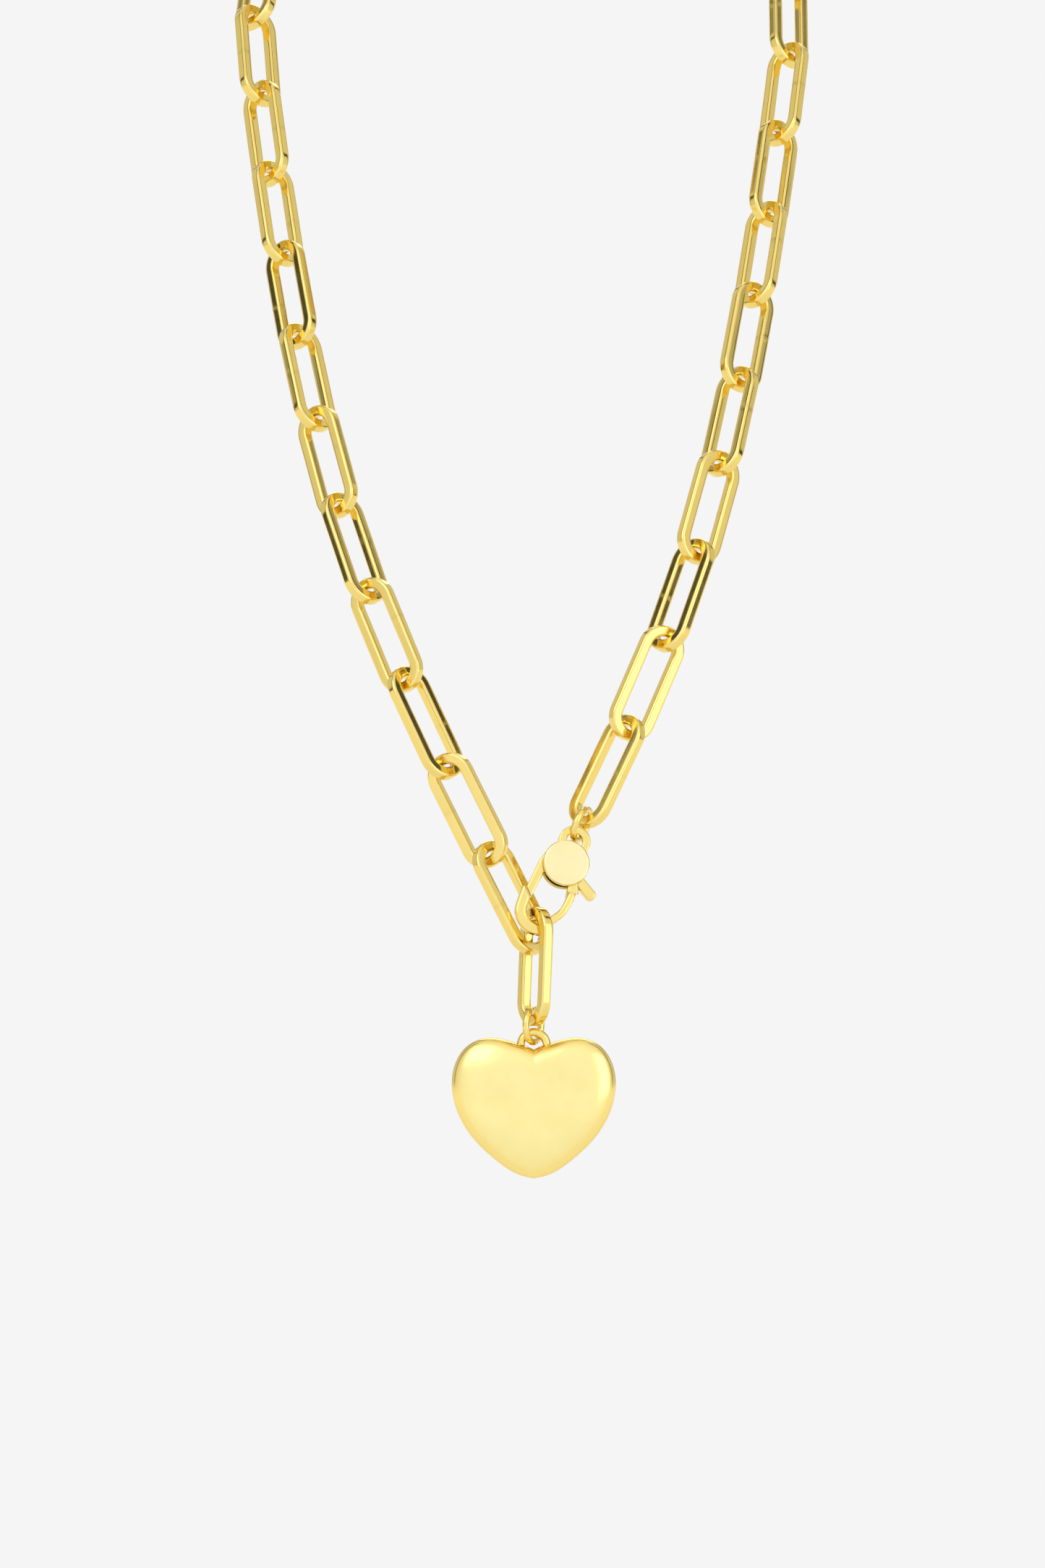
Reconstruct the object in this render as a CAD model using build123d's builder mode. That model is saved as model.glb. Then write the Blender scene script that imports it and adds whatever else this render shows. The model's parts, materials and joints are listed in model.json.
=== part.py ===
"""Paperclip-link necklace with a puffed heart pendant and a lobster clasp worn at the front.

Millimetres. +X to the wearer's left (the viewer's right), -Y towards the viewer, +Z up. The origin is
the point where the clasp hook carries the pendant link. One STEP file is written per sub-part.
"""
import os
from math import cos, pi, radians, sin

from build123d import *

os.makedirs("parts", exist_ok=True)

# ---------------------------------------------------------------- driving dimensions
# chain
WIRE = 1.64                 # side of the squared link wire
WIRE_ROUND = 0.40           # radius on the wire's four corners
LINK_WIDTH = 7.20           # outside width of a link
PITCH = 14.20               # distance between the two joint points of a link
JOINT_PLAY = 0.48           # play between two links at a joint
LINK_LENGTH = PITCH + 2 * WIRE + JOINT_PLAY
CHAIN_LINKS = 31
NAPE_INDEX = 16             # links between the pendant link and the nape link

# lie of the necklace on the neck, seen from the clasp hook
MIDDLE_X = -2.07            # middle plane of the neck
NECK_HALF = 39.3            # half width of the chain at the neck
NECK_DEPTH = 51.0
NECK_HEIGHT = 125.5
CHEST_HALF = 30.0           # fullness of the curve over the chest
CHEST_DEPTH = 11.0
CHEST_HEIGHT = 57.5
CHEST_FLARE = 22.7          # how far the two strands stand apart low on the chest
LEFT_RISE = 45.0
LEFT_DEPTH = 8.5
RIGHT_RISE = 43.0
RIGHT_DEPTH = 10.5
NAPE_HEIGHT = 172.0
NAPE_HALF = 36.0            # fullness of the curve behind the neck
SHOULDER_PULL = 24.0        # fullness of the curve over the shoulder

# turn of each link about its own length
NARROW_TURN = 45.5          # every second link
WIDE_TURN = 26.0            # the links between, next to the clasp
WIDE_TURN_STEP = 4.8        # added for each following one
LAST_TURN = 42.0            # the link that holds the pendant link

# pendant link and rings
PENDANT_LINK_LENGTH = 17.20
PENDANT_LINK_TURN = 59.2
PENDANT_LINK_LEAN = 2.1
PENDANT_LINK_RISE = 0.45    # inner end of the link above the origin
PENDANT_JOINT = Vector(-0.42, 1.26, -2.98)
RING_BORE = 3.66
RING_WIRE = 1.00
RING_REACH = 3.10           # distance between the two joint points of a ring
CLASP_RING_TURN = -68.0
PENDANT_RING_TURN = -62.0

# heart
HEART_WIDTH = 23.5
HEART_HEIGHT = 20.2
HEART_NOTCH = 1.70
HEART_THICKNESS = 6.0
HEART_WALL = 0.50
HEART_TOP = -16.70          # top of the lobes below the origin
HEART_X = -0.45
LOOP_HALF = 1.85            # half distance between the legs of the heart's loop
LOOP_WIRE = 1.20
LOOP_TOP = -15.32
LOOP_FOOT = -19.40

# clasp, in its own plane: x across, y along the clasp, z to the front
CLASP_TILT = 19.15
CLASP_LEAN = 15.6
CLASP_ROLL = 4.0
DISC_RADIUS = 3.35
DISC_THICK = 0.65
DRUM_HALF = 0.95            # half the space between the two discs
DRUM_WALL = 0.60
HOOK_X = -1.39              # centre of the hook's bend
HOOK_Y = -7.92
HOOK_RADIUS = 2.65
HOOK_WIRE = 1.60
ARM_START = radians(32)     # end of the round bend, past its lowest point
ARM_BULGE = 0.40            # how far the clasp's arm stands out past a plain round bend
HOOK_SEAT_X = -1.18         # the origin in the clasp's plane
HOOK_SEAT_Y = -9.30
HOOK_ROUND = 0.40
EYELET_X = 0.20
EYELET_Y = 3.75
EYELET_RADIUS = 2.30
EYELET_BORE = 1.20
EYELET_THICK = 1.10
EYELET_LEVEL = -0.35        # middle of the eyelet behind the clasp's middle plane
RIVET_RADIUS = 0.45
HUB_RADIUS = 1.55
LEVER_HALF = 0.65
TAB_LENGTH = 6.50
TAB_WIDTH = 1.50
TAB_ANGLE = -32.0
SPRING_WIRE = 0.22
SPRING_RADIUS = 0.80
RUN_FIT = 0.05              # running clearance
SEAT_FIT = 0.02             # clearance of a soldered or riveted seat

ORIGIN = Vector(0, 0, 0)
FRONT = Vector(0, -1, 0)


# ---------------------------------------------------------------- helpers
def save(part, name):
    """Label one sub-part and write its STEP file."""
    part.label = name
    export_step(part, f"parts/{name}.step")


def turned(along, angle):
    """Direction across a piece whose length runs along, turned by angle from the viewer's plane."""
    front = (FRONT - along * FRONT.dot(along)).normalized()
    side = along.cross(front)
    return side * cos(radians(angle)) + front * sin(radians(angle))


def piece_plane(low, high, angle):
    """Plane of a link or ring between two joint points, x along its length."""
    along = (high - low).normalized()
    across = turned(along, angle)
    return Plane(origin=(low + high) * 0.5, x_dir=along, z_dir=along.cross(across))


def chain_link(name, low, high, angle, length):
    """Closed link of squared wire between two joint points."""
    plane = piece_plane(low, high, angle)
    with BuildPart() as link:
        with BuildSketch(plane):
            SlotOverall(length, LINK_WIDTH)
            SlotOverall(length - 2 * WIRE, LINK_WIDTH - 2 * WIRE, mode=Mode.SUBTRACT)
        extrude(amount=WIRE / 2, both=True)
        rims = link.edges().filter_by(Axis(ORIGIN, plane.z_dir), reverse=True)
        fillet(rims, WIRE_ROUND)
    save(link.part, name)


def round_ring(name, low, high, angle):
    """Jump ring of round wire between two joint points."""
    plane = piece_plane(low, high, angle)
    radius = (RING_BORE + RING_WIRE) / 2
    with BuildPart() as ring:
        with Locations(plane.location):
            Torus(radius, RING_WIRE / 2)
    save(ring.part, name)


def next_joint(path, start, here, reach):
    """Place and parameter of the next joint point, one reach away from here along a path."""
    near = start
    far = min(1.0, start + 0.05)
    for _ in range(24):
        middle = (near + far) / 2
        if ((path @ middle) - here).length < reach:
            near = middle
        else:
            far = middle
    return path @ far, far


# ---------------------------------------------------------------- clasp frame
clasp_up = Vector(
    sin(radians(CLASP_TILT)) * cos(radians(CLASP_LEAN)),
    sin(radians(CLASP_LEAN)),
    cos(radians(CLASP_TILT)) * cos(radians(CLASP_LEAN)),
)
clasp_face = turned(clasp_up, 90 - CLASP_ROLL)
clasp_side = clasp_up.cross(clasp_face)
clasp_centre = ORIGIN - clasp_side * HOOK_SEAT_X - clasp_up * HOOK_SEAT_Y
clasp_plane = Plane(origin=clasp_centre, x_dir=clasp_side, z_dir=clasp_face)
eyelet_joint = clasp_plane.from_local_coords(
    Vector(EYELET_X, EYELET_Y + EYELET_BORE, EYELET_LEVEL)
)


# ---------------------------------------------------------------- joint points of the chain
def half_path(side, start, rise, depth, nape):
    """Bezier control points of one side, from the clasp to the nape."""
    chest = Vector(MIDDLE_X + side * CHEST_FLARE, depth, rise)
    collar = Vector(MIDDLE_X + side * CHEST_HALF, CHEST_DEPTH, CHEST_HEIGHT)
    neck = Vector(MIDDLE_X + side * NECK_HALF, NECK_DEPTH, NECK_HEIGHT)
    over = neck + (neck - collar).normalized() * SHOULDER_PULL
    behind = nape + Vector(side * NAPE_HALF, 0, 0)
    return [start, chest, collar, neck], [neck, over, behind, nape]


def chain_joints(nape_depth):
    """All joint points from the pendant link over the nape to the clasp ring."""
    nape = Vector(MIDDLE_X, nape_depth, NAPE_HEIGHT)
    left_front, left_back = half_path(-1, PENDANT_JOINT, LEFT_RISE, LEFT_DEPTH, nape)
    right_front, right_back = half_path(1, eyelet_joint, RIGHT_RISE, RIGHT_DEPTH, nape)
    with BuildLine() as line:
        Bezier(*left_front)
        Bezier(*left_back)
        Bezier(*reversed(right_back))
        Bezier(*reversed(right_front))
    path = line.wire()
    points = [PENDANT_JOINT]
    place = 0.0
    for _ in range(CHAIN_LINKS):
        point, place = next_joint(path, place, points[-1], PITCH)
        points.append(point)
    return points


shallow = 70.0
deep = 100.0
for _ in range(14):
    nape_depth = (shallow + deep) / 2
    joints = chain_joints(nape_depth)
    if (joints[-1] - eyelet_joint).length > RING_REACH:
        deep = nape_depth
    else:
        shallow = nape_depth


# ---------------------------------------------------------------- chain
def link_turn(count):
    """Turn of a link about its own length, counted from the clasp."""
    if count % 2 == 1:
        return NARROW_TURN
    return min(NARROW_TURN, WIDE_TURN + WIDE_TURN_STEP * (count // 2 - 1))


for index in range(CHAIN_LINKS):
    if index <= NAPE_INDEX:
        count = index + 1
        low = joints[index]
        high = joints[index + 1]
        hand = -1 if count % 2 == 1 else 1
        name = f"left_link_{NAPE_INDEX - index:02d}"
    else:
        count = CHAIN_LINKS - index
        low = joints[index + 1]
        high = joints[index]
        hand = 1 if count % 2 == 1 else -1
        name = f"right_link_{index - NAPE_INDEX:02d}"
    if index == NAPE_INDEX:
        name = "nape_link"
    turn = LAST_TURN if index == 0 else link_turn(count)
    chain_link(name, low, high, hand * turn, LINK_LENGTH)

# ---------------------------------------------------------------- pendant link and rings
hang = Vector(sin(radians(PENDANT_LINK_LEAN)), 0, cos(radians(PENDANT_LINK_LEAN)))
link_top = hang * (PENDANT_LINK_RISE + WIRE)
link_foot = link_top - hang * PENDANT_LINK_LENGTH
chain_link("pendant_link", link_foot, link_top, PENDANT_LINK_TURN, PENDANT_LINK_LENGTH)

ring_high = link_foot + hang * WIRE
ring_low = ring_high - Vector(0, 0, RING_REACH)
round_ring("pendant_ring", ring_low, ring_high, PENDANT_RING_TURN)
round_ring("clasp_ring", eyelet_joint, joints[CHAIN_LINKS], CLASP_RING_TURN)


# ---------------------------------------------------------------- heart
heart_middle = HEART_TOP - HEART_HEIGHT * 0.42


def heart_dome(depth, inset, facing):
    """Pillow-shaped half of the heart: a loft through outlines that shrink towards the face."""
    with BuildPart() as dome:
        for step in (0.0, 0.22, 0.42, 0.60, 0.75, 0.87, 0.95, 0.99):
            size = (1 - step ** 2.6) ** (1 / 2.6) * (1 - 2 * inset / HEART_WIDTH)
            half = HEART_WIDTH / 2 * size
            high = HEART_HEIGHT * size
            top = high * 0.42
            notch = HEART_NOTCH * size ** 1.5
            middle = Vector(HEART_X, -facing * depth * step, heart_middle)
            with BuildSketch(Plane(origin=middle, x_dir=(1, 0, 0), z_dir=FRONT)):
                with BuildLine():
                    for side in (1, -1):
                        Spline(
                            (0, top - notch),
                            (side * half * 0.22, top - notch * 0.42),
                            (side * half * 0.52, top),
                            (side * half * 0.80, top - 0.054 * high),
                            (side * half * 0.965, top - 0.196 * high),
                            (side * half, top - 0.340 * high),
                            (side * half * 0.945, top - 0.510 * high),
                            (side * half * 0.77, top - 0.695 * high),
                            (side * half * 0.47, top - 0.868 * high),
                            (side * half * 0.14, top - 0.982 * high),
                            (0, top - high),
                            tangents=[(side * 0.85, 0.53), (-side, -0.20)],
                        )
                make_face()
        loft()
    return dome.part


def heart_loop(wire):
    """Fixed loop of round wire that stands in the notch of the heart."""
    reach = LOOP_HALF
    with BuildPart() as loop:
        with BuildLine(Plane(origin=(HEART_X, 0, 0), x_dir=(1, 0, 0), z_dir=FRONT)) as bend:
            Line((-reach, LOOP_FOOT), (-reach, LOOP_TOP - LOOP_WIRE / 2 - reach))
            ThreePointArc(
                (-reach, LOOP_TOP - LOOP_WIRE / 2 - reach),
                (0, LOOP_TOP - LOOP_WIRE / 2),
                (reach, LOOP_TOP - LOOP_WIRE / 2 - reach),
            )
            Line((reach, LOOP_TOP - LOOP_WIRE / 2 - reach), (reach, LOOP_FOOT))
        with BuildSketch(Plane(origin=(HEART_X - reach, 0, LOOP_FOOT), z_dir=(0, 0, 1))):
            Circle(wire / 2)
        sweep(path=bend.wire())
    return loop.part


def heart_shell(name, facing):
    """One hollow half of the heart, with seats for the legs of the loop."""
    outside = heart_dome(HEART_THICKNESS / 2, 0, facing)
    inside = heart_dome(HEART_THICKNESS / 2 - HEART_WALL, HEART_WALL, facing)
    seat = heart_loop(LOOP_WIRE + 2 * SEAT_FIT)
    with BuildPart() as shell:
        add(outside)
        add(inside, mode=Mode.SUBTRACT)
        add(seat, mode=Mode.SUBTRACT)
    save(shell.part, name)


save(heart_loop(LOOP_WIRE), "heart_loop")
heart_shell("heart_front_shell", 1)
heart_shell("heart_back_shell", -1)


# ---------------------------------------------------------------- clasp
def clasp_level(height):
    """Plane parallel to the clasp's face at a height in front of its middle."""
    return clasp_plane.offset(height)


def turned_point(radius, angle):
    """Point in the clasp's plane at a radius and an angle from its middle."""
    return (radius * cos(radians(angle)), radius * sin(radians(angle)))


back_face = -DRUM_HALF - DISC_THICK
front_face = DRUM_HALF + DISC_THICK
hook_left = (HOOK_X - HOOK_RADIUS, HOOK_Y)
hook_foot = (HOOK_X, HOOK_Y - HOOK_RADIUS)
hook_turn = (HOOK_X + HOOK_RADIUS * sin(ARM_START), HOOK_Y - HOOK_RADIUS * cos(ARM_START))
hook_right = (HOOK_X + HOOK_RADIUS + ARM_BULGE, HOOK_Y + 0.75)
arm_head = (2.36, -3.55)

# hook of squared wire, cut to a slanting tip that meets the gate
with BuildPart() as hook:
    with BuildLine(clasp_level(0)) as bend:
        Line((HOOK_X - HOOK_RADIUS, -5.20), hook_left)
        ThreePointArc(hook_left, hook_foot, hook_turn)
        Spline(
            hook_turn,
            hook_right,
            arm_head,
            tangents=[(cos(ARM_START), sin(ARM_START)), (0.18, 0.98)],
        )
    with BuildSketch(Plane(origin=bend.wire() @ 0, x_dir=clasp_side, z_dir=bend.wire() % 0)):
        RectangleRounded(HOOK_WIRE, HOOK_WIRE, HOOK_ROUND)
    sweep(path=bend.wire())
    with BuildSketch(clasp_level(-2)):
        with BuildLine():
            Polyline((-5.40, -4.19), (-2.90, -7.01), (-1.50, -5.00), (-4.00, -3.00), close=True)
        make_face()
    extrude(amount=4, mode=Mode.SUBTRACT)

# cast body: back disc, drum wall, eyelet and hook in one piece
with BuildPart() as body:
    with BuildSketch(clasp_level(back_face)):
        Circle(DISC_RADIUS)
    extrude(amount=DISC_THICK)
    fillet(body.edges().group_by(Axis(ORIGIN, clasp_plane.z_dir))[0], 0.25)
    with BuildSketch(clasp_level(-DRUM_HALF - 0.10)):
        Circle(DISC_RADIUS - 0.08)
        Circle(DISC_RADIUS - 0.08 - DRUM_WALL, mode=Mode.SUBTRACT)
        with BuildLine():
            Polyline(
                (0, 0),
                turned_point(6, 20),
                turned_point(6, -60),
                turned_point(6, -150),
                turned_point(6, 150),
                close=True,
            )
        make_face(mode=Mode.SUBTRACT)
    extrude(amount=2 * DRUM_HALF + 0.10)
    with BuildSketch(clasp_level(back_face + 0.08)):
        with BuildLine():
            Polyline((1.25, -1.60), (2.80, -1.60), (2.95, -4.50), (1.75, -4.50), close=True)
        make_face()
    extrude(amount=DISC_THICK - 0.06)
    with BuildSketch(clasp_level(back_face + 0.30)):
        with BuildLine():
            Polyline((1.85, -3.68), (2.85, -3.68), (2.80, -4.40), (1.90, -4.40), close=True)
        make_face()
    extrude(amount=DISC_THICK + 0.60)
    with BuildSketch(clasp_level(LEVER_HALF + RUN_FIT)):
        with BuildLine():
            Polyline((1.15, -2.35), (2.45, -2.00), (3.14, -3.70), (1.56, -3.95), close=True)
        make_face()
    extrude(amount=DRUM_HALF - LEVER_HALF - RUN_FIT - 0.02)
    add(hook.part)
    with BuildSketch(clasp_level(EYELET_LEVEL - EYELET_THICK / 2)):
        with Locations((EYELET_X, EYELET_Y)):
            Circle(EYELET_RADIUS)
            Circle(EYELET_BORE, mode=Mode.SUBTRACT)
        Circle(DISC_RADIUS - 0.35, mode=Mode.SUBTRACT)
    extrude(amount=EYELET_THICK)
    with BuildSketch(clasp_level(back_face - 0.10)):
        Circle(RIVET_RADIUS + SEAT_FIT)
    extrude(amount=DISC_THICK + 0.20, mode=Mode.SUBTRACT)
save(body.part, "clasp_body")

# front disc, polished, with a blind seat for the rivet
with BuildPart() as cap:
    with BuildSketch(clasp_level(DRUM_HALF)):
        Circle(DISC_RADIUS)
    extrude(amount=DISC_THICK)
    fillet(cap.edges().group_by(Axis(ORIGIN, clasp_plane.z_dir))[-1], 0.28)
    with BuildSketch(clasp_level(DRUM_HALF)):
        Circle(RIVET_RADIUS + SEAT_FIT)
    extrude(amount=0.35, mode=Mode.SUBTRACT)
save(cap.part, "clasp_cap")

# rivet that carries the lever
with BuildPart() as rivet:
    with BuildSketch(clasp_level(back_face)):
        Circle(RIVET_RADIUS)
    extrude(amount=2 * DRUM_HALF + DISC_THICK + 0.33)
save(rivet.part, "clasp_rivet")

# spring lever: hub, gate and thumb tab, hollow at the back for the spring
with BuildPart() as lever:
    with BuildSketch(clasp_level(0)):
        Circle(HUB_RADIUS)
        with Locations(turned_point((TAB_LENGTH - TAB_WIDTH / 2) / 2, TAB_ANGLE)):
            SlotOverall(TAB_LENGTH + TAB_WIDTH / 2, TAB_WIDTH, rotation=TAB_ANGLE)
        with BuildLine():
            Polyline(
                (-0.40, 1.35),
                (-3.30, 0.55),
                (-3.72, -0.60),
                (-4.22, -5.17),
                (-3.12, -6.41),
                (-2.55, -2.30),
                (-1.20, -0.95),
                close=True,
            )
        make_face()
    extrude(amount=LEVER_HALF, both=True)
    rims = lever.edges().filter_by(Axis(ORIGIN, clasp_plane.z_dir), reverse=True)
    fillet(rims, 0.15)
    with BuildSketch(clasp_level(0)):
        Circle(RIVET_RADIUS + RUN_FIT)
    extrude(amount=LEVER_HALF, both=True, mode=Mode.SUBTRACT)
    with BuildSketch(clasp_level(-LEVER_HALF)):
        Circle(SPRING_RADIUS + SPRING_WIRE / 2 + 0.15)
    extrude(amount=LEVER_HALF - 0.05, mode=Mode.SUBTRACT)
save(lever.part, "clasp_lever")

# coil spring around the rivet, behind the hub
coil_low = -DRUM_HALF + SPRING_WIRE / 2 + 0.03
coil_rise = DRUM_HALF - SPRING_WIRE - 0.13
with BuildPart() as spring:
    with BuildLine() as coil:
        Helix(
            pitch=SPRING_WIRE + 0.05,
            height=coil_rise,
            radius=SPRING_RADIUS,
            center=clasp_level(coil_low).origin,
            direction=clasp_face,
        )
    with BuildSketch(Plane(origin=coil.line @ 0, z_dir=coil.line % 0)):
        Circle(SPRING_WIRE / 2)
    sweep(path=coil.line)
save(spring.part, "clasp_spring")
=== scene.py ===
"""Looks of a gold pendant necklace: long oval links, puffed heart and lobster clasp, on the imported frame."""
import json
import math

import bpy
import numpy as np
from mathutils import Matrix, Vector


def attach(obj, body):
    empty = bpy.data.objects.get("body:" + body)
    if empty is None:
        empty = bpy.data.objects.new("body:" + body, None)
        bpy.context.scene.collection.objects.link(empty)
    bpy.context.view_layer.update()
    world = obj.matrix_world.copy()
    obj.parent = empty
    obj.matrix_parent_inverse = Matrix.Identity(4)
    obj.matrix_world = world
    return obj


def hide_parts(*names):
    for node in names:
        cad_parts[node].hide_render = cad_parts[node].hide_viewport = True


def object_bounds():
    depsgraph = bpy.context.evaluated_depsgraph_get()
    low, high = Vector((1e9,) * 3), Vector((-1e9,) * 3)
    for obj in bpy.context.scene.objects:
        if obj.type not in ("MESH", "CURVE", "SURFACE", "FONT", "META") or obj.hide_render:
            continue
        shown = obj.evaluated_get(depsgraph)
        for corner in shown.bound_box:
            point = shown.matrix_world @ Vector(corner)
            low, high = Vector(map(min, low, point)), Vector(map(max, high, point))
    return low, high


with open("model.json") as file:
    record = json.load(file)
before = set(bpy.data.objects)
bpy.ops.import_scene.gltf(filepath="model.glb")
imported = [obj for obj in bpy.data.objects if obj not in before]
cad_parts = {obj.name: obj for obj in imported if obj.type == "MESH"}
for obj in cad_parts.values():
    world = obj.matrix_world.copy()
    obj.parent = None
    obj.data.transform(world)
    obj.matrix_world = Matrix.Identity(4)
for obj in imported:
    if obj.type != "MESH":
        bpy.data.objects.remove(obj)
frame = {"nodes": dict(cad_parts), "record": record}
cad_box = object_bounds()

MM = 0.001
CHAIN_SEED = 11
WIRE_ROUND = 0.40 * MM        # corner radius of the squared link wire
WORN_BACK = 0.022 * MM        # polishing takes this much off each side of the squared wire
CORNER_STEPS, FLAT_STEPS = 8, 5        # steps round the section of the link wire
END_STEPS, LEG_STEPS = 26, 22          # steps along a link
SWELL, SWELL_WAVES = 0.008 * MM, 5     # unevenness of the wire's thickness
SWAY, SWAY_WAVES = 0.010 * MM, 3       # how far the bent wire leaves its plane
BEAD_LENGTH, BEAD_HEIGHT = 0.22 * MM, 0.012 * MM     # solder at a link's joint
RING_STEPS, RING_AROUND = 120, 28      # steps along a jump ring and round its wire
RING_CUT = math.radians(205)           # where a jump ring's ends meet
CUT_LENGTH, CUT_DEPTH = 0.07 * MM, 0.12     # half width of that cut, and its depth as a share of the wire
HEART_RISE = 0.42             # share of the heart's height above its middle
HEART_NOTCH = 0.084           # depth of the notch as a share of the height
HEART_SIDE_STEPS, HEART_LEVELS = 110, 40    # steps along half the outline, and from rim to crown
DOME_POWER = 2.6              # fullness of the heart's pillow section
SHARP_ANGLE = math.radians(38)         # CAD edges blunter than this are shaded smooth

LINKS = [name for name in frame["nodes"] if "_link" in name]
RINGS = ("pendant_ring", "clasp_ring")
BODY_OF = {
    node: body
    for body, nodes in frame["record"]["behaviour"]["bodies"].items()
    for node in nodes
}


# ---------------------------------------------------------------- measuring the frame
def node_points(name):
    """Vertices of a CAD node in metres."""
    mesh = frame["nodes"][name].data
    points = np.empty(len(mesh.vertices) * 3)
    mesh.vertices.foreach_get("co", points)
    return points.reshape(-1, 3)


def own_axes(points):
    """Centre, sizes and axes (long, wide, thin) of a symmetrical piece."""
    middle = (points.max(0) + points.min(0)) / 2
    _, _, axes = np.linalg.svd(points - middle, full_matrices=False)
    axes = axes.copy()

    def turn(first, second, angle):
        a, b = axes[first].copy(), axes[second].copy()
        axes[first] = a * math.cos(angle) + b * math.sin(angle)
        axes[second] = b * math.cos(angle) - a * math.sin(angle)

    step = math.radians(2)
    while step > 1e-6:
        for first, second in ((2, 0), (2, 1), (1, 0)):
            best = np.ptp(points @ axes[first])
            for angle in (step, -step):
                turn(first, second, angle)
                size = np.ptp(points @ axes[first])
                if size < best - 1e-12:
                    best = size
                else:
                    turn(first, second, -angle)
        step *= 0.6
    if axes[2][1] > 0:
        axes[2] = -axes[2]
    if axes[0][2] < 0:
        axes[0] = -axes[0]
    axes[1] = np.cross(axes[2], axes[0])
    spread = points @ axes.T
    centre = ((spread.max(0) + spread.min(0)) / 2) @ axes
    return centre, np.ptp(spread, axis=0), axes


# ---------------------------------------------------------------- mesh building
def new_piece(name, verts, faces, replaced, material, marks=None):
    """Smooth mesh object that stands for CAD nodes of one body."""
    mesh = bpy.data.meshes.new(name)
    mesh.from_pydata([tuple(v) for v in verts], [], faces)
    mesh.validate()
    mesh.shade_smooth()
    for label, values in (marks or {}).items():
        layer = mesh.attributes.new(label, "FLOAT", "POINT")
        layer.data.foreach_set("value", np.asarray(values, dtype=np.float32))
    piece = bpy.data.objects.new(name, mesh)
    bpy.context.scene.collection.objects.link(piece)
    mesh.materials.append(material)
    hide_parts(*replaced)
    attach(piece, BODY_OF[replaced[0]])
    return piece


def tube_faces(rings, around):
    """Quads of a closed tube of closed sections."""
    faces = []
    for i in range(rings):
        nxt = (i + 1) % rings
        for j in range(around):
            k = (j + 1) % around
            faces.append((i * around + j, nxt * around + j, nxt * around + k, i * around + k))
    return faces


def square_section(side, radius, per_corner, per_flat):
    """Points and outward normals of a rounded square."""
    half = side / 2 - radius
    points, normals = [], []
    for quarter in range(4):
        turn = quarter * math.pi / 2
        corner = np.array([half * (1 if quarter in (0, 3) else -1), half * (1 if quarter < 2 else -1)])
        arc = []
        for k in range(per_corner + 1):
            angle = turn + math.pi / 2 * k / per_corner
            arc.append(np.array([math.cos(angle), math.sin(angle)]))
        for direction in arc:
            points.append(corner + direction * radius)
            normals.append(direction)
        onward = turn + math.pi / 2
        flat = np.array([-2 * half * math.sin(onward), 2 * half * math.cos(onward)])
        for k in range(1, per_flat):
            points.append(corner + flat * (k / per_flat) + arc[-1] * radius)
            normals.append(arc[-1])
    return np.array(points), np.array(normals)


def stadium_path(length, width, per_end, per_leg):
    """Centre line of a link: points, outward directions and distance along it."""
    radius = width / 2
    half = length / 2 - radius
    points, outs = [], []
    for sign in (1, -1):
        for k in range(per_end + 1):
            angle = -math.pi / 2 + math.pi * k / per_end
            out = np.array([math.cos(angle) * sign, math.sin(angle) * sign])
            points.append(np.array([half * sign, 0]) + out * radius)
            outs.append(out)
        for k in range(1, per_leg):
            along = k / per_leg
            points.append(np.array([half * sign * (1 - 2 * along), radius * sign]))
            outs.append(np.array([0, sign]))
    points = np.array(points)
    steps = np.linalg.norm(np.roll(points, -1, axis=0) - points, axis=1)
    return points, np.array(outs), np.concatenate([[0], np.cumsum(steps)[:-1]]), steps.sum()


def wave(distance, total, random, count, size):
    """Slow closed wobble along a wire."""
    value = np.zeros_like(distance)
    for k in range(1, count + 1):
        strength = random.normal() / k
        value += strength * np.sin(2 * math.pi * k * distance / total + random.uniform(0, 2 * math.pi))
    return value * size


def swept_link(name, material, random):
    """Link of squared wire with rounded edges, a soldered joint on one leg and slight unevenness."""
    centre, sizes, axes = own_axes(node_points(name))
    wire = sizes[2]
    section, normals = square_section(wire, WIRE_ROUND, CORNER_STEPS, FLAT_STEPS)
    path, outs, distance, total = stadium_path(sizes[0] - wire, sizes[1] - wire, END_STEPS, LEG_STEPS)
    leg = sizes[0] - sizes[1]
    seam_at = math.pi * (sizes[1] - wire) / 2 + leg * random.uniform(0.35, 0.65)
    if random.random() < 0.5:
        seam_at += total / 2
    away = np.abs(distance - seam_at)
    away = np.minimum(away, total - away)
    bead = np.exp(-((away / BEAD_LENGTH) ** 2))
    swell = wave(distance, total, random, SWELL_WAVES, SWELL)
    sway = wave(distance, total, random, SWAY_WAVES, SWAY)
    verts, marks = [], []
    for i, point in enumerate(path):
        out = outs[i]
        for j, (across, up) in enumerate(section):
            normal = normals[j]
            lumpy = 0.6 + 0.4 * math.sin(3 * j)
            grow = swell[i] - WORN_BACK + bead[i] * BEAD_HEIGHT * lumpy
            radial = across + normal[0] * grow
            height = up + normal[1] * grow + sway[i]
            flat = point + out * radial
            verts.append(centre + axes[0] * flat[0] + axes[1] * flat[1] + axes[2] * height)
            marks.append(bead[i])
    faces = tube_faces(len(path), len(section))
    return new_piece(f"{name}_wire", verts, faces, (name,), material, {"seam": marks})


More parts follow.
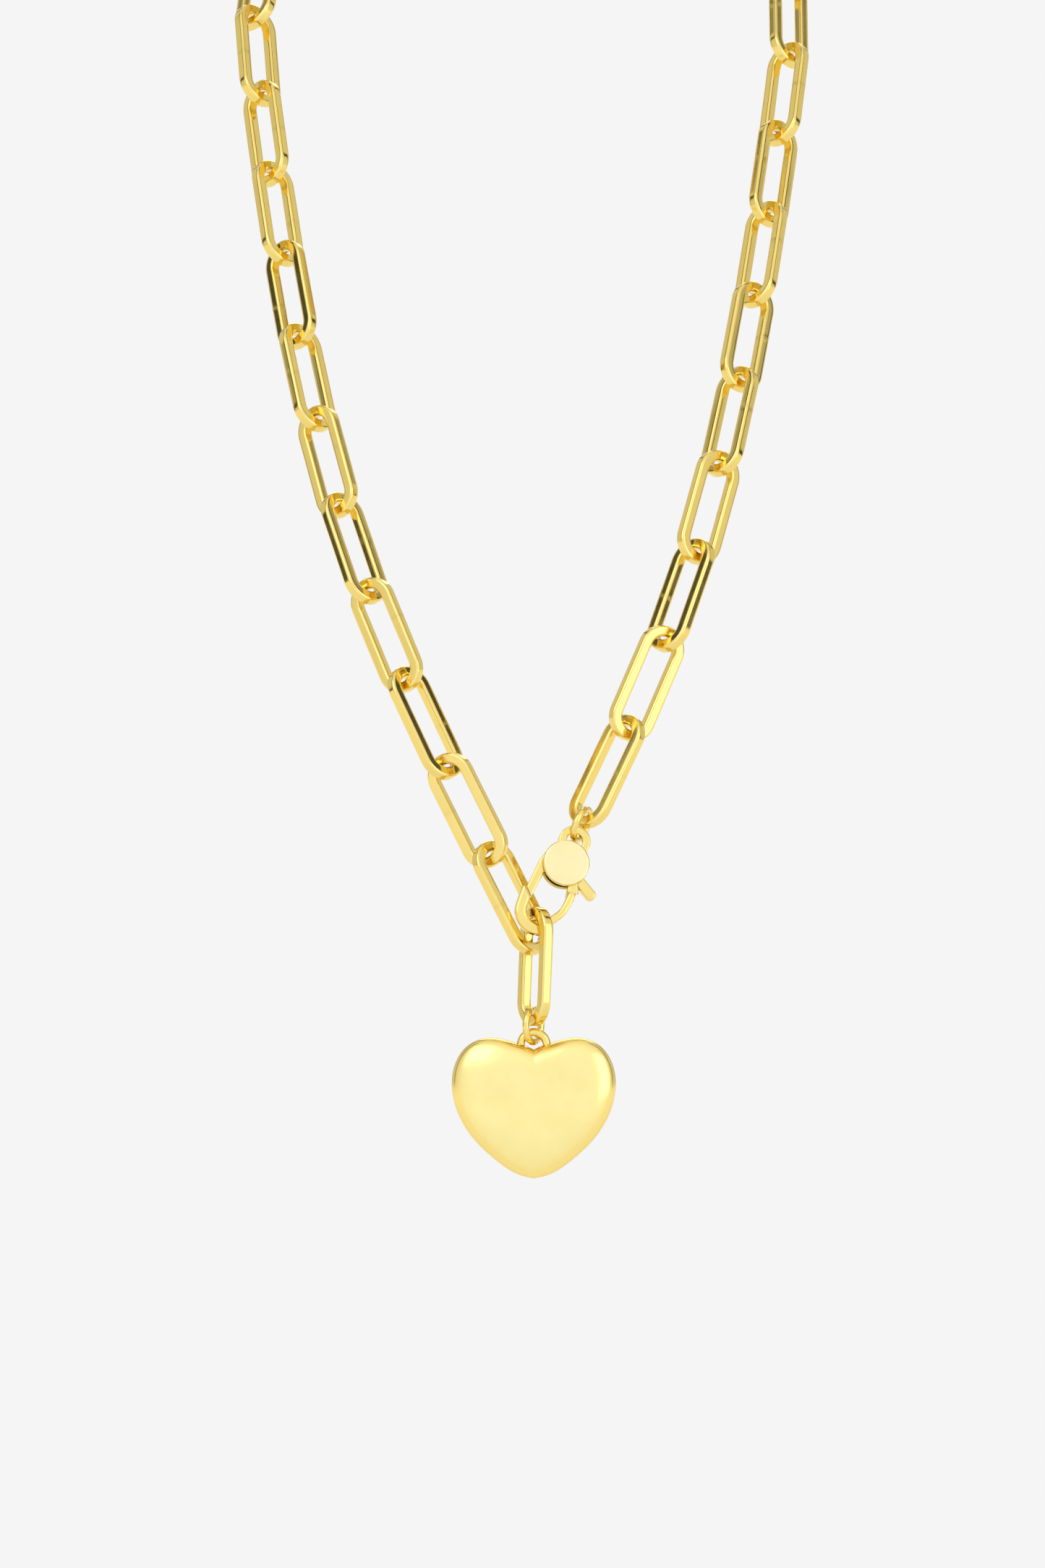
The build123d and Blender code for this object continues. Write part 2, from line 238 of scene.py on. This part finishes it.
def swept_ring(name, material):
    """Jump ring of round wire with its butted cut."""
    centre, sizes, axes = own_axes(node_points(name))
    wire = sizes[2] / 2
    radius = (sizes[0] + sizes[1]) / 4 - wire
    verts, marks = [], []
    for i in range(RING_STEPS):
        angle = 2 * math.pi * i / RING_STEPS
        away = abs((angle - RING_CUT + math.pi) % (2 * math.pi) - math.pi) * radius
        notch = math.exp(-((away / CUT_LENGTH) ** 2))
        out = axes[0] * math.cos(angle) + axes[1] * math.sin(angle)
        here = wire * (1 - CUT_DEPTH * notch)
        for j in range(RING_AROUND):
            turn = 2 * math.pi * j / RING_AROUND
            verts.append(centre + out * (radius + here * math.cos(turn)) + axes[2] * here * math.sin(turn))
            marks.append(notch)
    faces = tube_faces(RING_STEPS, RING_AROUND)
    return new_piece(f"{name}_wire", verts, faces, (name,), material, {"seam": marks})


def spline(points, start, end, count):
    """Smooth curve through points with set end directions."""
    points = np.array(points, float)
    gaps = np.linalg.norm(np.diff(points, axis=0), axis=1)
    total = len(points)
    matrix, right = np.zeros((total, total)), np.zeros((total, 2))
    matrix[0, 0] = matrix[-1, -1] = 1
    right[0], right[-1] = start, end
    for i in range(1, total - 1):
        before, after = gaps[i - 1], gaps[i]
        matrix[i, i - 1], matrix[i, i], matrix[i, i + 1] = after, 2 * (before + after), before
        rise, fall = (points[i] - points[i - 1]) / before, (points[i + 1] - points[i]) / after
        right[i] = 3 * (after * rise + before * fall)
    slopes = np.linalg.solve(matrix, right)
    knots = np.concatenate([[0], np.cumsum(gaps)])
    curve = []
    for t in np.linspace(0, knots[-1], count):
        i = min(int(np.searchsorted(knots, t, side="right")) - 1, total - 2)
        h = gaps[i]
        s = (t - knots[i]) / h
        curve.append(
            points[i] * (1 + 2 * s) * (1 - s) ** 2 + slopes[i] * h * s * (1 - s) ** 2
            + points[i + 1] * s * s * (3 - 2 * s) + slopes[i + 1] * h * s * s * (s - 1)
        )
    return np.array(curve)


def heart_outline(half, high, per_side):
    """Closed outline of the heart round its middle, from the notch to the tip and back."""
    top, notch = high * HEART_RISE, high * HEART_NOTCH
    right = spline(
        (
            (0, top - notch), (half * 0.22, top - notch * 0.42), (half * 0.52, top),
            (half * 0.80, top - 0.054 * high), (half * 0.965, top - 0.196 * high), (half, top - 0.340 * high),
            (half * 0.945, top - 0.510 * high), (half * 0.77, top - 0.695 * high),
            (half * 0.47, top - 0.868 * high), (half * 0.14, top - 0.982 * high), (0, top - high),
        ),
        (0.85, 0.53), (-0.98, -0.20), per_side,
    )
    left = right[-2:0:-1] * (-1, 1)
    return np.concatenate([right, left])


def heart_half(name, facing, material):
    """Polished half of the puffed heart: the outline's corners melt away towards the crown."""
    points = node_points(name)
    low, high_corner = points.min(0), points.max(0)
    width, height = high_corner[0] - low[0], high_corner[2] - low[2]
    middle = np.array([(low[0] + high_corner[0]) / 2, 0, high_corner[2] - height * HEART_RISE])
    depth = np.abs(points[:, 1]).max()
    outline = heart_outline(width / 2, height, HEART_SIDE_STEPS)
    angle = np.arctan2(outline[:, 0] / (width / 2), outline[:, 1] / (height * 0.45))
    lobe = np.where(np.cos(angle) > 0, height * 0.395, height * 0.53)
    soft = np.stack([np.sin(angle) * width * 0.475, np.cos(angle) * lobe], axis=1)
    verts, around, levels = [], len(outline), HEART_LEVELS
    for level in range(levels + 1):
        if level == 0:
            size, rise = 0.9945, 0.0
        else:
            turn = 0.006 + (math.pi / 2 - 0.006) * ((level - 1) / levels)
            size, rise = math.cos(turn) ** (2 / DOME_POWER), math.sin(turn) ** (2 / DOME_POWER)
        keep = size ** 2.2
        ring = (outline * keep + soft * (1 - keep)) * size
        for x, z in ring:
            verts.append(middle + np.array([x, -facing * depth * rise, z]))
    crown, base = len(verts), len(verts) + 1
    verts.append(middle + np.array([0, -facing * depth, 0]))
    verts.append(middle.copy())
    faces = []
    for j in range(around):
        k = (j + 1) % around
        for level in range(levels):
            a, b = level * around + j, level * around + k
            faces.append((a, b, b + around, a + around))
        last = levels * around
        faces.append((last + j, last + k, crown))
        faces.append((k, j, base))
    if facing > 0:
        faces = [face[::-1] for face in faces]
    return new_piece(f"{name}_dome", verts, faces, (name,), material)


# ---------------------------------------------------------------- node helpers
def node(tree, kind, **settings):
    made = tree.nodes.new(kind)
    for key, value in settings.items():
        setattr(made, key, value)
    return made


def put(tree, socket, value):
    """Link or set one input."""
    if isinstance(value, bpy.types.NodeSocket):
        tree.links.new(value, socket)
    elif value is not None:
        socket.default_value = value


def math_node(tree, operation, first, second=None):
    made = node(tree, "ShaderNodeMath", operation=operation)
    put(tree, made.inputs[0], first)
    put(tree, made.inputs[1], second)
    return made.outputs[0]


def remap(tree, value, low, high, start, end):
    """Smooth step from start to end while the value goes from low to high."""
    made = node(tree, "ShaderNodeMapRange", interpolation_type="SMOOTHSTEP")
    for index, item in enumerate((value, low, high, start, end)):
        put(tree, made.inputs[index], item)
    return made.outputs[0]


def mix_colour(tree, factor, first, second):
    made = node(tree, "ShaderNodeMix", data_type="RGBA", blend_type="MIX")
    put(tree, made.inputs[0], factor)
    put(tree, made.inputs[6], first)
    put(tree, made.inputs[7], second)
    return made.outputs[2]


def noise(tree, vector, scale, detail):
    made = node(tree, "ShaderNodeTexNoise")
    put(tree, made.inputs["Vector"], vector)
    made.inputs["Scale"].default_value = scale
    made.inputs["Detail"].default_value = detail
    made.inputs["Roughness"].default_value = 0.55
    return made.outputs["Fac"]


def stretched(tree, vector, scale, turn):
    made = node(tree, "ShaderNodeMapping")
    put(tree, made.inputs["Vector"], vector)
    made.inputs["Scale"].default_value = scale
    made.inputs["Rotation"].default_value = turn
    return made.outputs[0]


# ---------------------------------------------------------------- materials
PAINTED_HOLLOW_SHADE = (0.80, 0.68, 0.32)      # painted shade: a paler, duller colour that AO mixes in deep between pieces, in place of the plating mirroring itself there


def gold(name, front, side, rim, rough, wave_depth, scratch, seam=False, soften=0.0):
    """Polished plating with painted light: a painted highlight, pale where it faces the eye, and painted
    shade, richer at its sides and deep between pieces; with hairlines and solder.
    """
    material = bpy.data.materials.new(name)
    material.use_nodes = True
    tree = material.node_tree
    tree.nodes.clear()
    shade = node(tree, "ShaderNodeBsdfPrincipled")
    out = node(tree, "ShaderNodeOutputMaterial")
    tree.links.new(shade.outputs[0], out.inputs[0])
    place = node(tree, "ShaderNodeTexCoord").outputs["Object"]

    # colour by angle to the eye, with a painted highlight where the surface faces the eye and painted shade
    # towards the rims; clouded; and painted shade deep between pieces, a paler, duller tone where AO finds
    # hollows
    weight = node(tree, "ShaderNodeLayerWeight")
    weight.inputs["Blend"].default_value = 0.5
    turned = weight.outputs["Facing"]
    # painted highlight and shade: the front colour where the surface faces the eye, the side and rim colours
    # towards its edges
    colour = mix_colour(tree, remap(tree, turned, 0.0, 0.22, 0.0, 1.0), (*front, 1), (*side, 1))
    colour = mix_colour(tree, remap(tree, turned, 0.25, 0.85, 0.0, 1.0), colour, (*rim, 1))
    cloud = remap(tree, noise(tree, place, 210.0, 4.0), 0.30, 0.70, 0.0, 0.22)
    colour = mix_colour(tree, cloud, colour, (*[c * 0.90 for c in side], 1))
    # painted shade between pieces: where AO finds hollows, the colour is mixed towards a paler, duller tone
    hollow = node(tree, "ShaderNodeAmbientOcclusion", samples=6)
    hollow.inputs["Distance"].default_value = 1.2 * MM
    shadow = remap(tree, hollow.outputs["AO"], 0.15, 0.75, 0.55, 0.0)
    colour = mix_colour(tree, shadow, colour, (*PAINTED_HOLLOW_SHADE, 1))

    # hairlines in two directions over a slightly uneven polish
    hair_a = noise(tree, stretched(tree, place, (9000, 900, 5200), (0.3, 0.5, 0.2)), 1.0, 2.0)
    hair_b = noise(tree, stretched(tree, place, (1100, 8200, 2600), (0.9, 0.2, 1.1)), 1.0, 2.0)
    scuff = remap(tree, math_node(tree, "MAXIMUM", hair_a, hair_b), 0.66, 0.84, 0.0, 1.0)
    smear = noise(tree, place, 420.0, 3.0)
    roughness = math_node(tree, "ADD", rough * 0.7, math_node(tree, "MULTIPLY", smear, rough * 0.6))
    roughness = math_node(tree, "ADD", roughness, math_node(tree, "MULTIPLY", scuff, scratch))
    height = math_node(tree, "MULTIPLY", noise(tree, place, 260.0, 1.0), wave_depth)
    height = math_node(tree, "ADD", height, math_node(tree, "MULTIPLY", scuff, -0.004 * scratch))
    if seam:
        mark = node(tree, "ShaderNodeAttribute", attribute_name="seam").outputs["Fac"]
        grain = noise(tree, place, 5200.0, 3.0)
        spot = math_node(tree, "MULTIPLY", mark, remap(tree, grain, 0.35, 0.65, 0.2, 1.0))
        dull = (*[c * 0.70 for c in rim], 1)
        colour = mix_colour(tree, math_node(tree, "MULTIPLY", spot, 0.45), colour, dull)
        roughness = math_node(tree, "ADD", roughness, math_node(tree, "MULTIPLY", spot, 0.16))
        lumps = math_node(tree, "MULTIPLY", grain, mark)
        height = math_node(tree, "ADD", height, math_node(tree, "MULTIPLY", lumps, 0.012))
    bump = node(tree, "ShaderNodeBump")
    bump.inputs["Strength"].default_value = 1.0
    bump.inputs["Distance"].default_value = MM
    put(tree, bump.inputs["Height"], height)
    if soften:
        worn = node(tree, "ShaderNodeBevel", samples=6)
        worn.inputs["Radius"].default_value = soften
        tree.links.new(worn.outputs[0], bump.inputs["Normal"])

    put(tree, shade.inputs["Base Color"], colour)
    put(tree, shade.inputs["Roughness"], roughness)
    put(tree, shade.inputs["Normal"], bump.outputs[0])
    shade.inputs["Metallic"].default_value = 1.0
    return material


# name: front colour (painted highlight), side and rim colours (painted shade towards the edges), roughness,
# depth of the waviness in mm, hairlines, extras
FINISHES = {
    "chain_gold": (
        (0.93, 0.74, 0.27), (0.89, 0.68, 0.20), (0.85, 0.63, 0.16), 0.12, 0.0010, 0.02, {"seam": True},
    ),
    "ring_gold": (
        (0.93, 0.74, 0.27), (0.89, 0.67, 0.19), (0.84, 0.62, 0.15), 0.12, 0.0008, 0.02, {"seam": True},
    ),
    "heart_gold": (
        (0.98, 0.86, 0.38), (0.96, 0.75, 0.25), (0.85, 0.61, 0.13), 0.22, 0.0015, 0.02, {},
    ),
    "clasp_gold": (
        (0.93, 0.75, 0.27), (0.90, 0.70, 0.21), (0.82, 0.60, 0.14), 0.12, 0.0050, 0.03,
        {"soften": 0.45 * MM},
    ),
    "cap_gold": (
        (0.99, 0.89, 0.52), (0.93, 0.76, 0.28), (0.84, 0.62, 0.15), 0.12, 0.0030, 0.03,
        {"soften": 0.30 * MM},
    ),
    "rivet_gold": (
        (0.90, 0.72, 0.26), (0.86, 0.64, 0.18), (0.78, 0.54, 0.12), 0.16, 0.0016, 0.06, {},
    ),
    "spring_steel": (
        (0.70, 0.69, 0.66), (0.60, 0.59, 0.56), (0.45, 0.44, 0.41), 0.22, 0.0010, 0.10, {},
    ),
}
MATERIALS = {name: gold(name, *values, **extras) for name, (*values, extras) in FINISHES.items()}

# ---------------------------------------------------------------- pieces
random = np.random.default_rng(CHAIN_SEED)
for name in sorted(LINKS):
    swept_link(name, MATERIALS["chain_gold"], random)
for name in RINGS:
    swept_ring(name, MATERIALS["ring_gold"])
heart_half("heart_front_shell", 1, MATERIALS["heart_gold"])
heart_half("heart_back_shell", -1, MATERIALS["heart_gold"])

slots = {part["node"]: part["material_slot"] for part in frame["record"]["subparts"]}
for name, holder in frame["nodes"].items():
    if name in LINKS or name in RINGS or name.endswith("_shell"):
        continue
    finish = MATERIALS["cap_gold" if name == "clasp_cap" else slots[name]]
    holder.data.shade_smooth()
    holder.data.set_sharp_from_angle(angle=SHARP_ANGLE)
    if not holder.data.materials:
        holder.data.materials.append(finish)
    for index in range(len(holder.material_slots)):
        holder.material_slots[index].material = finish


# ---------------------------------------------------------------- studio
BACKDROP = 0.913              # linear value of the pale surround
FLOOR_GLOW = 1.04             # strength of the floor in reflections
FLOOR_DROP = 95 * MM          # floor below the lowest point
FLOOR_REACH = 3.0             # radius of the floor
# black flags in the reflections: degrees from the camera side, half width, darkness
FLAGS = ((-98, 0.060, 0.95), (94, 0.060, 0.95), (-152, 0.040, 0.88), (150, 0.040, 0.88))


def area_light(name, place, target, size, power):
    """Soft lamp turned to the target; size in metres, power in watts."""
    data = bpy.data.lights.new(name, "AREA")
    data.shape = "RECTANGLE"
    data.size, data.size_y = size
    data.energy = power
    lamp = bpy.data.objects.new(name, data)
    bpy.context.scene.collection.objects.link(lamp)
    lamp.location = place
    lamp.rotation_euler = (Vector(target) - Vector(place)).to_track_quat("-Z", "Y").to_euler()
    return lamp


def studio_world():
    """Pale surround for the camera; for reflections a white tent with narrow black flags."""
    world = bpy.data.worlds.new("studio")
    bpy.context.scene.world = world
    world.use_nodes = True
    tree = world.node_tree
    tree.nodes.clear()
    way = node(tree, "ShaderNodeTexCoord").outputs["Generated"]
    split = node(tree, "ShaderNodeSeparateXYZ")
    tree.links.new(way, split.inputs[0])
    up = split.outputs[2]

    def facing(direction):
        made = node(tree, "ShaderNodeVectorMath", operation="DOT_PRODUCT")
        tree.links.new(way, made.inputs[0])
        made.inputs[1].default_value = Vector(direction).normalized()
        return made.outputs["Value"]

    # white tent, brightest round the camera and overhead
    level = remap(tree, facing((0, -1, 0.15)), -0.20, 0.95, 0.76, 1.02)
    level = math_node(tree, "ADD", level, remap(tree, up, 0.30, 1.0, 0.0, 0.10))
    for azimuth, width, darkness in FLAGS:
        turn = math.radians(azimuth)
        side = facing((math.cos(turn), math.sin(turn), 0))
        ahead = facing((math.sin(turn), -math.cos(turn), 0))
        band = remap(tree, math_node(tree, "ABSOLUTE", side), width, width * 1.5, darkness, 0.0)
        band = math_node(tree, "MULTIPLY", band, remap(tree, ahead, 0.35, 0.45, 0.0, 1.0))
        level = math_node(tree, "MULTIPLY", level, math_node(tree, "SUBTRACT", 1.0, band))
    # black bar high behind, seen only along the upper rims
    bar = remap(tree, math_node(tree, "ABSOLUTE", facing((0, 0.80, -0.60))), 0.035, 0.055, 0.90, 0.0)
    bar = math_node(tree, "MULTIPLY", bar, remap(tree, facing((0, 0.60, 0.80)), 0.55, 0.65, 0.0, 1.0))
    level = math_node(tree, "MULTIPLY", level, math_node(tree, "SUBTRACT", 1.0, bar))

    tent = node(tree, "ShaderNodeBackground")
    put(tree, tent.inputs["Strength"], level)
    plain = node(tree, "ShaderNodeBackground")
    plain.inputs["Strength"].default_value = BACKDROP
    for shade in (tent, plain):
        shade.inputs["Color"].default_value = (1, 1, 1, 1)
    choose = node(tree, "ShaderNodeMixShader")
    put(tree, choose.inputs[0], node(tree, "ShaderNodeLightPath").outputs["Is Camera Ray"])
    tree.links.new(tent.outputs[0], choose.inputs[1])
    tree.links.new(plain.outputs[0], choose.inputs[2])
    out = node(tree, "ShaderNodeOutputWorld")
    tree.links.new(choose.outputs[0], out.inputs[0])


def pale_floor(height):
    """Round pale floor that fades into the surround, with a faint soft shadow under the piece."""
    rings, around = 24, 96
    verts, faces = [(0, 0, height)], []
    for i in range(1, rings + 1):
        radius = FLOOR_REACH * (i / rings) ** 2
        for j in range(around):
            turn = 2 * math.pi * j / around
            verts.append((radius * math.cos(turn), radius * math.sin(turn), height))
    for j in range(around):
        faces.append((0, 1 + j, 1 + (j + 1) % around))
    for i in range(rings - 1):
        for j in range(around):
            a = 1 + i * around + j
            b = 1 + i * around + (j + 1) % around
            faces.append((a, a + around, b + around, b))
    mesh = bpy.data.meshes.new("floor")
    mesh.from_pydata(verts, [], faces)
    floor = bpy.data.objects.new("floor", mesh)
    bpy.context.scene.collection.objects.link(floor)
    material = bpy.data.materials.new("floor_paper")
    material.use_nodes = True
    tree = material.node_tree
    tree.nodes.clear()
    glow = node(tree, "ShaderNodeEmission")
    glow.inputs["Color"].default_value = (1, 1, 1, 1)
    seen = node(tree, "ShaderNodeLightPath").outputs["Is Camera Ray"]
    put(tree, glow.inputs["Strength"], remap(tree, seen, 0.0, 1.0, FLOOR_GLOW, BACKDROP))
    paper = node(tree, "ShaderNodeBsdfDiffuse")
    paper.inputs["Color"].default_value = (0.86, 0.86, 0.86, 1)
    place = node(tree, "ShaderNodeTexCoord").outputs["Object"]
    flat = node(tree, "ShaderNodeVectorMath", operation="LENGTH")
    tree.links.new(place, flat.inputs[0])
    near = remap(tree, flat.outputs["Value"], 0.10, 0.55, 0.30, 0.0)
    choose = node(tree, "ShaderNodeMixShader")
    put(tree, choose.inputs[0], near)
    tree.links.new(glow.outputs[0], choose.inputs[1])
    tree.links.new(paper.outputs[0], choose.inputs[2])
    out = node(tree, "ShaderNodeOutputMaterial")
    tree.links.new(choose.outputs[0], out.inputs[0])
    mesh.materials.append(material)


studio_world()
lowest = cad_box[0][2]
pale_floor(lowest - FLOOR_DROP)
target = (0, 0, 30 * MM)      # between the clasp and the lower links
area_light("key", (-0.55, -0.75, 0.75), target, (0.80, 0.80), 1.9)
area_light("fill", (0.80, -0.60, 0.20), target, (0.50, 0.80), 1.1)
area_light("rim", (0.10, 0.70, 0.65), target, (0.60, 0.40), 1.2)

# ---------------------------------------------------------------- camera
CAMERA_AWAY = 1.440
CAMERA_SIDE, CAMERA_UP = -2.07 * MM, 19.64 * MM
VIEW_HEIGHT = 0.2247          # height of the view at the clasp's distance
camera_data = bpy.data.cameras.new("camera")
camera_data.sensor_fit = "VERTICAL"
camera_data.sensor_height = 36.0
camera_data.lens = camera_data.sensor_height * CAMERA_AWAY / VIEW_HEIGHT
camera = bpy.data.objects.new("camera", camera_data)
camera.location = (CAMERA_SIDE, -CAMERA_AWAY, CAMERA_UP)
camera.rotation_euler = (math.pi / 2, 0, 0)
bpy.context.scene.collection.objects.link(camera)
bpy.context.scene.camera = camera
bpy.context.scene.view_settings.view_transform = "Standard"
